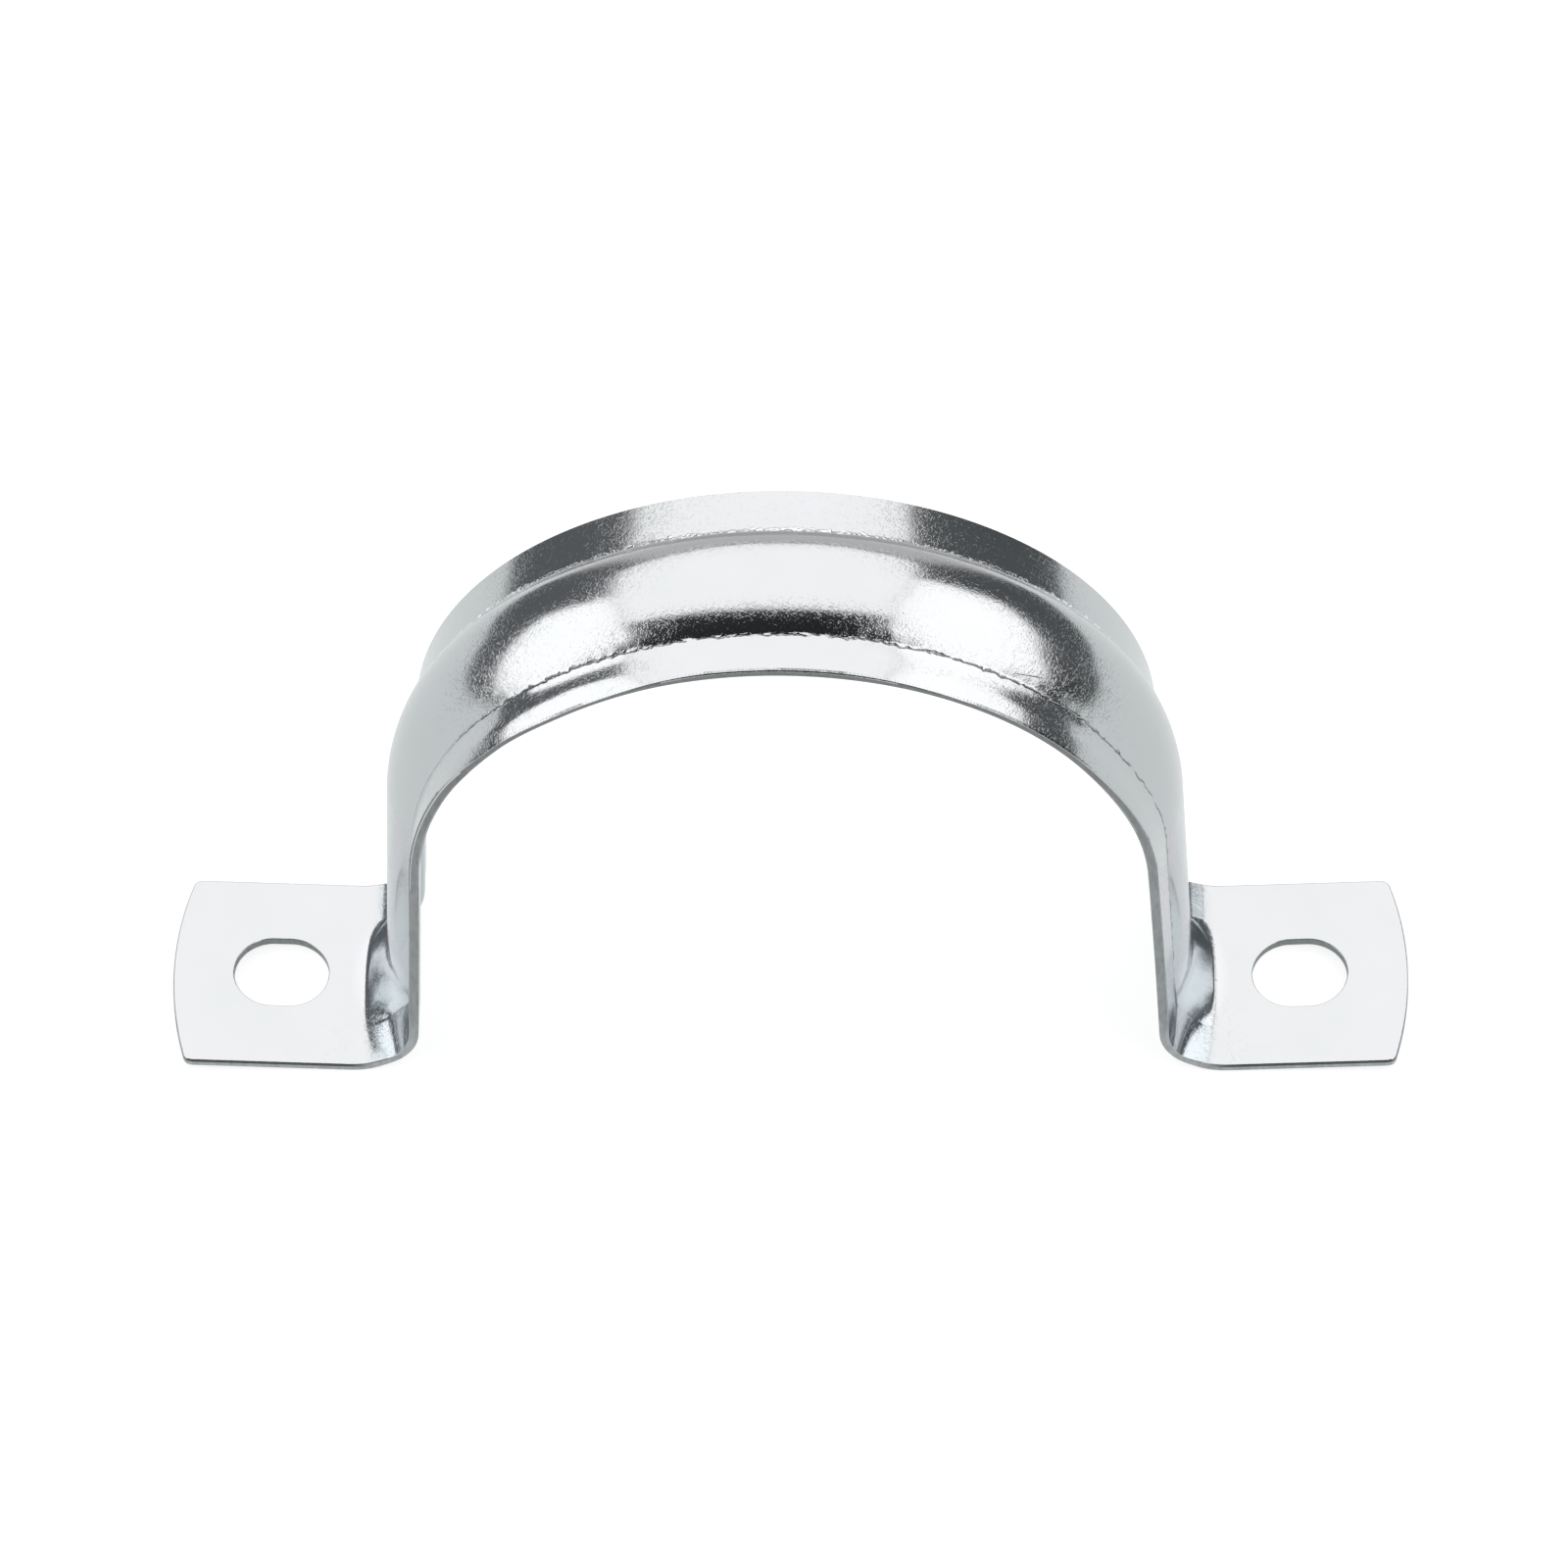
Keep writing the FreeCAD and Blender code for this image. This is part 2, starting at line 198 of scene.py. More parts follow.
# %% [markdown]
# The lug and its rounded end
#
# The lug is flat, so one long pull is enough. The new row is then laid on the end's outline: a wide arc
# with a small rounded corner at each side. The strip is also a touch wider from the bend outwards, where
# the former did not stretch it. A Boolean with a rounded block could trim the end, but moving one row is
# cleaner.

# %% Pull the lug
half_width = 9.75
widen_from = outer_radius
widen_to = outer_radius + bend_radius
lug_pull = 16.0


def grow(value, start, end):
    """Nought before start, one after end, and a smooth rise between them."""
    share = min(max((value - start) / (end - start), 0.0), 1.0)
    return share * share * (3 - 2 * share)


pull(out_lug * lug_pull * mm)
sheet = bmesh.from_edit_mesh(strap.data)
end_row = [point for point in sheet.verts if point.select]
for point in sheet.verts:
    across = abs(point.co.y) / mm
    if across > bead_foot:
        wide = half_waist + (half_width - half_waist) * grow(point.co.x / mm, widen_from, widen_to)
        share = (across - bead_foot) / flange
        point.co.y = math.copysign((bead_foot + share * (wide - bead_foot)) * mm, point.co.y)
print("points in the lug's last row:", len(end_row))

# %% Round the lug's end
lug_tip = 55.958
end_radius = 32.0
corner_radius = 0.8
corner_across = half_width - corner_radius
corner_along = math.sqrt((end_radius - corner_radius)**2 - corner_across**2)
corner_touch = corner_across * end_radius / (end_radius - corner_radius)


def end_line(across):
    """Distance from the middle to the lug's end, at a place across the strip."""
    across = abs(across)
    middle = lug_tip - end_radius
    if across <= corner_touch:
        return middle + math.sqrt(end_radius**2 - across**2)
    reach = corner_radius**2 - (across - corner_across)**2
    return middle + corner_along + math.sqrt(max(reach, 0.0))


for point in end_row:
    point.co += out_lug * (end_line(point.co.y / mm) * mm - point.co.x) / out_lug.x
bmesh.update_edit_mesh(strap.data)
bpy.ops.object.mode_set(mode="OBJECT")
print("lug end at, mm:", round(max(point.co.x for point in strap.data.vertices) / mm, 3))

# %% [markdown]
# The other half
#
# The clamp is the same on both sides, so the Mirror modifier makes the left half, and points that meet at
# the crown are merged. The lugs come out as many long strips. They are flat, so a limited dissolve turns
# each one into a single face, which gives the slots a clean place to be cut.

# %% Mirror the strip
merge_reach = 0.001 * mm

mirror = strap.modifiers.new("other_half", "MIRROR")
mirror.use_axis[0] = True
mirror.merge_threshold = merge_reach
bpy.ops.object.modifier_apply(modifier=mirror.name)

bpy.ops.object.mode_set(mode="EDIT")
bpy.ops.mesh.select_all(action="SELECT")
bpy.ops.mesh.remove_doubles(threshold=merge_reach / 2)
bpy.ops.mesh.normals_make_consistent(inside=False)
sheet = bmesh.from_edit_mesh(strap.data)
crown_face = max(sheet.faces, key=lambda face: face.calc_center_median().z)
if crown_face.normal.z < 0:
    bmesh.ops.reverse_faces(sheet, faces=sheet.faces[:])
bmesh.update_edit_mesh(strap.data)
print("faces on both halves:", len(sheet.faces))

# %% Make each lug one face
long_strip = 6.0 * mm

bpy.ops.mesh.select_mode(type="FACE")
bpy.ops.mesh.select_all(action="DESELECT")
sheet = bmesh.from_edit_mesh(strap.data)
for face in sheet.faces:
    longest = max(edge.calc_length() for edge in face.edges)
    face.select_set(longest > long_strip)
bmesh.update_edit_mesh(strap.data)
bpy.ops.mesh.dissolve_limited(angle_limit=math.radians(0.5))
bpy.ops.mesh.select_mode(type="VERT")
bpy.ops.object.mode_set(mode="OBJECT")
print("faces on the open strip:", len(strap.data.polygons))

# %% [markdown]
# What the press leaves behind: the flanges
#
# A pressed bead has no perfect lines. The back flange leans: its edge stays out on its radius, and it
# meets the bead's flank higher up, where the bead is tucked in a little. The front flange leans inwards,
# more on the right, and its lip rolls over, because nothing held it from outside. Sculpting would do this
# by feel, and a lattice is too coarse for so narrow a flange. So each point is moved along its own radius
# by a small formula that fades out down the leg.

# %% Find the way along the strip
arch_end = 90.0 - spring_angle
leg_end = arch_end + leg_run


def along_strip(place):
    """Angle from the crown in degrees on the arch, then arch_end and more, down the leg in millimetres."""
    side = Vector((abs(place.x), 0.0, place.z - arch_middle.z))
    down = side.dot(down_leg) / mm
    if down > 0:
        return arch_end + down
    return math.degrees(math.atan2(side.x, side.z))


def to_middle(place):
    """Direction from a place to the middle line of the arch."""
    return Vector((-place.x, 0.0, arch_middle.z - place.z)).normalized()


def fade(value, start, end):
    """One before start, nought after end, and a smooth fall between them."""
    return 1 - grow(value, start, end)


def leaning(station):
    """How much of a flange's lean is left at a station along the strip."""
    return fade(station, 55.0, 105.0)


print("arch ends at, degrees:", arch_end, "lean left there:", round(leaning(arch_end), 2))

# %% Lean the back flange
back_lean = math.tan(math.radians(7.5))
back_tuck = 0.5
tuck_start = 2.8
tuck_end = 4.6


def back_raise(across, lasts):
    """How far the leaning back flange stands above the plain section, melted into the bead's flank."""
    tucked = bead_rise(across + back_tuck * lasts * grow(across, tuck_start, tuck_end))
    slab = back_lean * max(half_waist - across, 0.0) * lasts
    melt = 0.3 * slab + 0.001
    near = max(melt - abs(tucked - slab), 0.0) / melt
    return max(tucked, slab) + near * near * melt / 4 - bead_rise(across)


highest = 0.0
for point in strap.data.vertices:
    if point.co.y > tuck_start * mm:
        lifted = back_raise(point.co.y / mm, leaning(along_strip(point.co)))
        point.co -= to_middle(point.co) * lifted * mm
        highest = max(highest, lifted)
print("back flange raised by up to, mm:", round(highest, 3))

# %% Let the front edge droop
left_lean = math.tan(math.radians(3.5))
right_lean = math.tan(math.radians(6.0))
edge_roll = math.tan(math.radians(24.0))
crease_lean = math.tan(math.radians(24.0))
crease_reach = 1.2
roll_start = 0.45
roll_length = 0.35


def rolled(share):
    """How far a rolled edge has dropped at a share of the flange, for a last slope of one."""
    turn = min(max((share - roll_start) / roll_length, 0.0), 1.0)
    return roll_length * (turn**3 - turn**4 / 2) + max(share - roll_start - roll_length, 0.0)


lowest = 0.0
for point in strap.data.vertices:
    beyond = -point.co.y / mm - bead_foot
    if beyond <= 0:
        continue
    station = along_strip(point.co)
    lean = left_lean + (right_lean - left_lean) * grow(point.co.x / mm, -15.0, 15.0)
    roll = edge_roll * grow(station, 10.0, 32.0)
    if point.co.x < 0:
        lasts = fade(station, 36.0, 50.0)
        roll *= fade(station, 50.0, 64.0)
    else:
        lasts = leaning(station)
        roll *= 0.6 * fade(station, 55.0, 80.0)
    turned_in = crease_lean * crease_reach / 3 * (1 - max(1 - beyond / crease_reach, 0.0)**3)
    drop = (lean * beyond + turned_in) * lasts + roll * flange * rolled(beyond / flange)
    point.co += to_middle(point.co) * drop * mm
    lowest = max(lowest, drop)
print("front edge droops by up to, mm:", round(lowest, 3))

# %% [markdown]
# What the press leaves behind: the feet
#
# At each foot the bead ends over the bend. The press draws its end out into a ramp that runs down to the
# lug. The crease in front of it stands up a little, more on the right, and the edge beside that crease
# sinks. The sweep made a plain pointed arch there. Proportional editing could push it into shape by hand,
# but the two feet differ, so the push is written as a formula of the angle through the bend.

# %% Measure the angle through the bend
bend_middle = Vector((outer_radius + bend_radius, 0.0, -leg_run)) * mm


def bend_angle(place):
    """Angle through the bend in degrees, nought at the lug and ninety at the leg, for the flat flanges."""
    from_arch = Vector((abs(place.x), 0.0, place.z - arch_middle.z))
    inward = bend_middle.x - from_arch.dot(out_lug)
    below = -from_arch.dot(down_leg) - bend_middle.z
    return math.degrees(math.atan2(inward, -below)) if below < 0 else 90.0


print("middle of the bend, mm:", [round(value / mm, 2) for value in bend_middle])

# %% Draw out the bead's ends
ramp_reach = 1.9
ramp_toe = 0.35
toe_start = 0.96
right_raise = 0.75
left_raise = 0.5
edge_sinks = 0.4
foot_start = 58.0
slot_start = 41.9


def ramp_line(fallen):
    """How far the ramp reaches out, for a share fallen from nought on the leg to one on the lug."""
    last = max((fallen - toe_start) / (1 - toe_start), 0.0)
    return ramp_reach * (1.75 * fallen**2 - 0.75 * fallen**3) + ramp_toe * last**2


def crease_lift(place, stands, angle):
    """How far the front crease rises and its edge sinks, where the bead stands at a height."""
    across = -place.y / mm
    if across <= 0:
        return 0.0
    lift = left_raise * grow(angle, 0.0, 40.0) * fade(angle, 60.0, 90.0)
    if place.x > 0:
        lift = right_raise * grow(along_strip(place), foot_start, 88.0) * grow(angle, 0.0, 70.0)
    outer = max(across - bead_foot, 0.0) / (half_width - bead_foot)
    lift *= (1 - stands / bead_height) * (1 - outer)
    return lift - edge_sinks * outer * grow(angle, 24.0, 50.0) * fade(angle, 55.0, 90.0)


farthest = 0.0
highest = 0.0
for point in strap.data.vertices:
    station = along_strip(point.co)
    if station < foot_start or abs(point.co.x) > slot_start * mm:
        continue
    stands = bead_rise(point.co.y / mm)
    away = Vector((math.copysign(out_lug.x, point.co.x), 0.0, out_lug.z))
    along = Vector((math.copysign(down_leg.x, point.co.x), 0.0, down_leg.z))
    angle = bend_angle(point.co - away * stands * mm)
    turned = math.radians(angle)
    outward = away * math.sin(turned) - along * math.cos(turned)
    if station < arch_end:
        outward = -to_middle(point.co)
    sink = stands / bead_height * (bend_radius * (1 - math.sin(turned)) - ramp_line(math.cos(turned)))
    lift = crease_lift(point.co, stands, angle)
    point.co += (outward * lift - away * sink) * mm
    farthest = max(farthest, sink)
    highest = max(highest, lift)
print("bead sinks by up to, mm:", round(farthest, 3))
print("front crease raised by up to, mm:", round(highest, 3))

# %% [markdown]
# What the press leaves behind: the creases
#
# Where the die pinched the sheet beside the bead, the crease is scored by a fine line that wanders and
# breaks off, and the sheet around it is dented and puckered. A bump in the material would catch the
# light, but a line that is seen against a bright panel has to be there in the mesh. The score is a noise
# that runs along the strip. Then weights say where the sheet was worked, and Displace modifiers ripple it
# there.

# %% Score the creases
crease_line = 5.82
back_crease_shift = 1.25
crease_depth = 0.04
crease_width = 0.15
crease_margin = 0.8
degree_run = 0.57
arch_run = 49.4


def crease_place(place):
    """Where the crease runs, in millimetres from the middle of the strip."""
    if place.y < 0:
        return crease_line
    return crease_line - back_crease_shift * leaning(along_strip(place))


def score(place):
    """How far the crease is pulled in at a place, in millimetres."""
    station = along_strip(place)
    run = station * degree_run if station < arch_end else station - arch_end + arch_run
    side = 17.0 if place.y < 0 else 71.0
    if place.x < 0:
        side += 300.0
    wander = 0.22 * noise.noise(Vector((run / 1.4, side, 0.0)))
    wander += 0.10 * noise.noise(Vector((run / 0.6, side, 9.0)))
    strength = 0.65 + 0.6 * noise.noise(Vector((run / 0.9, side, 4.0)))
    on_arch = 0.45 + 0.55 * fade(station, 55.0, 88.0)
    off_line = (abs(place.y) / mm - crease_place(place) - wander) / crease_width
    return crease_depth * on_arch * max(strength, 0.0) * math.exp(-off_line * off_line)


deepest = 0.0
for point in strap.data.vertices:
    off_line = abs(point.co.y) / mm - crease_place(point.co)
    if abs(off_line) > crease_margin or along_strip(point.co) > leg_end:
        continue
    depth = score(point.co)
    inward = Vector((-point.co.x, 0.0, min(arch_middle.z - point.co.z, 0.0))).normalized()
    point.co += inward * depth * mm
    deepest = max(deepest, depth)
print("deepest crease, mm:", round(deepest, 3))

# %% Weigh where the sheet was worked
dent_width = 0.28
crease_weights = strap.vertex_groups.new(name="crease_lines")
sway_weights = strap.vertex_groups.new(name="crease_margins")
foot_weights = strap.vertex_groups.new(name="bead_ends")
for point in strap.data.vertices:
    station = along_strip(point.co)
    if station > leg_end + bend_radius - 0.2:
        continue
    across = abs(point.co.y) / mm
    off_line = across - crease_place(point.co)
    line = 0.45 + 0.55 * fade(station, 60.0, 90.0)
    crease_weights.add([point.index], line * math.exp(-(off_line / dent_width)**2), "REPLACE")
    sway_weights.add([point.index], line * math.exp(-(off_line / crease_margin)**2), "REPLACE")
    low = fade(station, leg_end + 3.4, leg_end + 5.0) - fade(station, 106.0, 113.0)
    foot_weights.add([point.index], low * fade(across, 5.2, 7.0), "REPLACE")
print("weighed points:", len(strap.data.vertices))

# %% Ripple the creases


def ripple(name, group, direction, strength, grain):
    """Move the weighed part of the strap by a cloudy noise of the given grain."""
    clouds = bpy.data.textures.new(name, "CLOUDS")
    clouds.noise_scale = grain * mm
    clouds.noise_depth = 1
    move = strap.modifiers.new(name, "DISPLACE")
    move.texture = clouds
    move.texture_coords = "LOCAL"
    move.vertex_group = group
    move.direction = direction
    move.strength = strength * mm
    move.mid_level = 0.5
    bpy.ops.object.modifier_apply(modifier=move.name)
    print(name, "by up to", strength / 2, "mm")


ripple("crease_wander", "crease_margins", "Y", 0.16, 1.8)
ripple("crease_dents", "crease_lines", "NORMAL", 0.025, 0.7)
ripple("foot_puckers", "bead_ends", "NORMAL", 0.07, 1.0)

# %% [markdown]
# Flat lugs
#
# Each lug is flat sheet, and here it is one large face. A face whose corners don't share a plane shades
# in patches, and the ripples may have moved a few of them by a hair. The corners could be scaled to
# nothing along the lug's upright, but sliding each one to the middle corner's level leaves the outline
# where it was.

# %% Lay the lugs flat again
most_small_corners = 12

for face in strap.data.polygons:
    if len(face.vertices) > most_small_corners:
        upright = Vector((math.copysign(down_leg.x, face.center.x), 0.0, down_leg.z))
        heights = sorted(strap.data.vertices[index].co.dot(upright) for index in face.vertices)
        level = heights[len(heights) // 2]
        for index in face.vertices:
            point = strap.data.vertices[index]
            point.co += upright * (level - point.co.dot(upright))
        print("lug evened by up to, mm:", round(max(level - heights[0], heights[-1] - level) / mm, 4))

# %% [markdown]
# Thickness
#
# Solidify gives the sheet its 0.9 mm, inwards, so the outer face stays where it was measured. The new
# faces along the cut take the second material, because the shears left bare, dull metal there. Where the
# strap stands on its bends, nothing may dip under the floor.

# %% Make two finishes to fill later
bright_zinc = bpy.data.materials.new("bright_zinc")
sheared_steel = bpy.data.materials.new("sheared_steel")
strap.data.materials.append(bright_zinc)
strap.data.materials.append(sheared_steel)
print("finishes:", [material.name for material in strap.data.materials])

# %% Give the sheet its thickness
sheet_thickness = 0.9
strap.vertex_groups.new(name="underside")
wall = strap.modifiers.new("sheet", "SOLIDIFY")
wall.thickness = sheet_thickness * mm
wall.offset = -1.0
wall.use_even_offset = True
wall.use_rim = True
wall.material_offset_rim = 1
wall.shell_vertex_group = "underside"
bpy.ops.object.modifier_apply(modifier=wall.name)
for point in strap.data.vertices:
    point.co.z = max(point.co.z, 0.0)
print("faces with thickness:", len(strap.data.polygons))

# %% [markdown]
# The slots
#
# Each slot is punched straight down. The punch is a cylinder whose one half is moved along, which makes
# the long round-ended bar, and a Boolean takes it out of the lug. One punch is made and copied for the
# other lug.

# %% Shape two punches
slot_middle = 46.209
slot_half_length = 4.3
slot_half_width = 3.6
punch_sides = 72
punch_depth = 8.0

bpy.ops.object.select_all(action="DESELECT")
bpy.ops.mesh.primitive_cylinder_add(
    vertices=punch_sides, radius=slot_half_width * mm, depth=punch_depth * mm
)
punch = bpy.context.object
punch.data.materials.append(bright_zinc)
punch.data.materials.append(sheared_steel)
stretch = (slot_half_length - slot_half_width) * mm
for point in punch.data.vertices:
    point.co.x += math.copysign(stretch, point.co.x + 0.001 * mm)
    point.co.x += slot_middle * mm
for face in punch.data.polygons:
    face.material_index = 1
second_punch = punch.copy()
second_punch.data = punch.data.copy()
scene.collection.objects.link(second_punch)
for point in second_punch.data.vertices:
    point.co.x -= 2 * slot_middle * mm
print("punch faces:", len(punch.data.polygons))

# %% Punch the slots
for tool in (punch, second_punch):
    bpy.ops.object.select_all(action="DESELECT")
    strap.select_set(True)
    bpy.context.view_layer.objects.active = strap
    cut = strap.modifiers.new("slot", "BOOLEAN")
    cut.operation = "DIFFERENCE"
    cut.solver = "EXACT"
    cut.object = tool
    bpy.ops.object.modifier_apply(modifier=cut.name)
    bpy.data.objects.remove(tool, do_unlink=True)
print("faces with slots:", len(strap.data.polygons))

# %% [markdown]
# Edges
#
# Shears round the edge they press on and leave the other one crisp. So the outer edge gets a wide
# rounding and the inner one a small one. On the arch, where the press stretched the cut, both are
# rounder. Bevel weights say which edge is which, and one Bevel modifier does them all. Only a cut turns
# by about a right angle, and the creases turn by less, so the angle tells them apart. What is still
# upright after that is bare cut metal and takes the second finish.

# %% Weigh the edges
cut_angle = math.radians(62)
slot_margin = 0.05
lug_plane = arch_middle + down_leg * (leg_run + bend_radius + sheet_thickness / 2) * mm

body = bmesh.new()
body.from_mesh(strap.data)
weights = body.edges.layers.float.new("bevel_weight_edge")
groups = body.verts.layers.deform.verify()
underside = strap.vertex_groups["underside"].index


def on_arch(place):
    """Nought low on the legs and one on the arch."""
    return grow(place.z / mm, 22.0, 38.0)


def is_outer(edge, place):
    """Whether an edge is on the outer face of the sheet."""
    if abs(place.x) > widen_to * mm:
        return place.z > lug_plane.z + (abs(place.x) - lug_plane.x) * math.tan(spring)
    return not any(underside in point[groups] for point in edge.verts)


def is_slot(place):
    """Whether a place is on the edge of a slot."""
    along = abs(abs(place.x) / mm - slot_middle)
    return along < slot_half_length + slot_margin and abs(place.y) / mm < slot_half_width + slot_margin


outer_edges = 0
for edge in body.edges:
    if len(edge.link_faces) != 2 or edge.calc_face_angle() < cut_angle:
        continue
    middle = (edge.verts[0].co + edge.verts[1].co) / 2
    outer = is_outer(edge, middle)
    if is_slot(middle):
        edge[weights] = 0.25 if outer else 0.12
    elif outer:
        edge[weights] = 0.3 + 0.45 * on_arch(middle)
    else:
        edge[weights] = 0.12 + 0.4 * on_arch(middle)
    outer_edges += outer
body.to_mesh(strap.data)
body.free()
strap.vertex_groups.clear()
print("outer edges to round:", outer_edges)

# %% Round the edges
widest_rounding = 0.42
upright_share = 0.78
arch_share = 0.14
level_share = 0.995
lug_start = 40.0
lug_end_start = 50.0

rounding = strap.modifiers.new("rounding", "BEVEL")
rounding.limit_method = "WEIGHT"
rounding.width = widest_rounding * mm
rounding.segments = 4
rounding.use_clamp_overlap = False
rounding.material = 0
bpy.ops.object.modifier_apply(modifier=rounding.name)
bpy.ops.object.shade_smooth_by_angle(angle=math.radians(38))
points = strap.data.vertices
for face in strap.data.polygons:
    reach = max(abs(points[index].co.x) for index in face.vertices)
    if reach > lug_start * mm and abs(face.normal.z) > level_share:
        face.use_smooth = False
    at_end = abs(face.center.x) > lug_end_start * mm and abs(face.normal.x) > upright_share
    if at_end or abs(face.normal.y) > upright_share + arch_share * on_arch(face.center):
        face.material_index = 1
print("triangles:", sum(len(face.vertices) - 2 for face in strap.data.polygons))

# %% [markdown]
# The grain of plated sheet
#
# Zinc plating is bright but never a mirror: it has a fine frosty grain, and fine scratches from the press
# and from lying in a box with others. Both finishes use the same grain, so it is a node group with its
# own inputs, and each material sets its own strength. A few small helpers come first, so that a row of
# nodes reads as a sum.

# %% Write helpers for the nodes


def wire(tree, source, target):
    """Join two sockets."""
    tree.links.new(source, target)


def add_node(tree, kind, **settings):
    """Add a node and set its plain properties."""
    node = tree.nodes.new(kind)
    for name, value in settings.items():
        setattr(node, name, value)
    return node


def calculate(tree, operation, first, *others):
    """Math nodes in a row, on values or sockets."""
    result = first
    for other in others or (0.0,):
        node = add_node(tree, "ShaderNodeMath", operation=operation)
        for socket, value in zip(node.inputs, (result, other)):
            if isinstance(value, (int, float)):
                socket.default_value = value
            else:
                wire(tree, value, socket)
        result = node.outputs[0]
    return result


def product(tree, *factors):
    """All the factors multiplied together."""
    return calculate(tree, "MULTIPLY", *factors)


def total(tree, *parts):
    """All the parts added together."""
    return calculate(tree, "ADD", *parts)


def less(tree, value, *parts):
    """A value with all the parts taken away."""
    return calculate(tree, "SUBTRACT", value, *parts)


def size_of(tree, value):
    """A value without its sign."""
    return calculate(tree, "ABSOLUTE", value)


def largest(tree, *values):
    """The largest of the values."""
    return calculate(tree, "MAXIMUM", *values)


def soft_step(tree, value, start, end):
    """Nought before start and one after end, with a smooth rise between them."""
    node = add_node(tree, "ShaderNodeMapRange", interpolation_type="SMOOTHSTEP")
    wire(tree, value, node.inputs["Value"])
    node.inputs["From Min"].default_value = start
    node.inputs["From Max"].default_value = end
    return node.outputs["Result"]


def noise_at(tree, place, scale, detail, roughness=0.5):
    """A Noise Texture's value at a place."""
    node = add_node(tree, "ShaderNodeTexNoise")
    wire(tree, place, node.inputs["Vector"])
    node.inputs["Scale"].default_value = scale
    node.inputs["Detail"].default_value = detail
    node.inputs["Roughness"].default_value = roughness
    return node.outputs["Fac"]


print("helpers are ready for the node trees")

# %% Build the grain group
grain = bpy.data.node_groups.new("plated_grain", "ShaderNodeTree")
grain.interface.new_socket("Place", in_out="INPUT", socket_type="NodeSocketVector")
grain.interface.new_socket("Frost", in_out="INPUT", socket_type="NodeSocketFloat")
grain.interface.new_socket("Scratches", in_out="INPUT", socket_type="NodeSocketFloat")
grain.interface.new_socket("Height", in_out="OUTPUT", socket_type="NodeSocketFloat")
grain.interface.new_socket("Scuff", in_out="OUTPUT", socket_type="NodeSocketFloat")
grain_in = add_node(grain, "NodeGroupInput").outputs
grain_out = add_node(grain, "NodeGroupOutput").inputs

cloud = product(grain, noise_at(grain, grain_in["Place"], 3600.0, 1.0), 0.15)
specks = soft_step(grain, noise_at(grain, grain_in["Place"], 5600.0, 1.0), 0.54, 0.71)
frost = product(grain, total(grain, cloud, product(grain, specks, 0.26)), grain_in["Frost"])
print("frost nodes:", len(grain.nodes))

# %% Scratch the grain
scratch_leans = ((0.3, 0.5), (1.1, -0.6), (0.7, 1.2), (-0.9, -1.1), (0.2, 2.2))
scratch_size = (1300.0, 7500.0, 3000.0)

scratches = []
for number, lean in enumerate(scratch_leans):
    turned = add_node(grain, "ShaderNodeMapping")
    wire(grain, grain_in["Place"], turned.inputs["Vector"])
    turned.inputs["Rotation"].default_value = (0.0, *lean)
    turned.inputs["Location"].default_value = (0.3 * number, 0.0, 0.0)
    drawn = add_node(grain, "ShaderNodeMapping")
    wire(grain, turned.outputs["Vector"], drawn.inputs["Vector"])
    drawn.inputs["Scale"].default_value = scratch_size
    lines = noise_at(grain, drawn.outputs["Vector"], 1.0, 0.0)
    scratches.append(soft_step(grain, lines, 0.70, 0.82))
scuffs = product(grain, largest(grain, *scratches), grain_in["Scratches"])
wire(grain, less(grain, frost, scuffs), grain_out["Height"])
wire(grain, scuffs, grain_out["Scuff"])
print("grain group nodes:", len(grain.nodes))

# %% [markdown]
# Bright zinc
#
# The faces are a pale metal with a cold tint that drifts a little from place to place. Its base colour is
# set lighter or darker by a slow noise, the scuffs make it a little rougher, and slow waves in the sheet
# bend what it mirrors. An image could carry all this, but noise on the object's own coordinates needs no
# unwrapping and stays sharp close up.

# %% Start a metal


def start_metal(material, frosted, scratched):
    """An empty node tree with a metal shader, the object's own coordinates and the grain."""
    material.use_nodes = True
    tree = material.node_tree
    tree.nodes.clear()
    output = add_node(tree, "ShaderNodeOutputMaterial")
    shader = add_node(tree, "ShaderNodeBsdfPrincipled")
    shader.inputs["Metallic"].default_value = 1.0
    wire(tree, shader.outputs["BSDF"], output.inputs["Surface"])
    place = add_node(tree, "ShaderNodeTexCoord").outputs["Object"]
    axes = add_node(tree, "ShaderNodeSeparateXYZ")
    wire(tree, place, axes.inputs[0])
    grained = add_node(tree, "ShaderNodeGroup", node_tree=grain)
    wire(tree, place, grained.inputs["Place"])
    grained.inputs["Frost"].default_value = frosted
    grained.inputs["Scratches"].default_value = scratched
    return tree, shader.inputs, place, axes.outputs, grained.outputs


def ramp(tree, value, stops):
    """A colour ramp on a value."""
    node = add_node(tree, "ShaderNodeValToRGB")
    wire(tree, value, node.inputs["Fac"])
    for element, (position, colour) in zip(node.color_ramp.elements, stops):
        element.position = position
        element.color = (*colour, 1.0)
    return node.outputs["Color"]


tree, shader, place, axes, grained = start_metal(bright_zinc, frosted=1.0, scratched=0.25)
tint = noise_at(tree, place, 160.0, 3.0, 0.55)
colour = ramp(tree, tint, ((0.32, (0.560, 0.572, 0.580)), (0.70, (0.580, 0.582, 0.598))))
wire(tree, total(tree, product(tree, grained["Scuff"], 0.15), 0.13), shader["Roughness"])
waves = product(tree, noise_at(tree, place, 210.0, 2.0), 1.6)
height = total(tree, grained["Height"], waves)
print("plain zinc nodes:", len(tree.nodes))

# %% [markdown]
# Painted shade and glints in the creases
#
# Beside the bead, the scored front crease gets a thin dark line of painted shade in its base colour. It is
# wider low on the right leg and gives out early on the left. Near the crown the back crease gets bright
# dots
# instead: a small bump, and painted glints that lighten the base colour. Both could be painted by hand on
# a mask. A distance from the crease's line, swayed by noise, does the same and stays sharp.

# %% Paint shade into the front crease
dark_half_width = 0.14

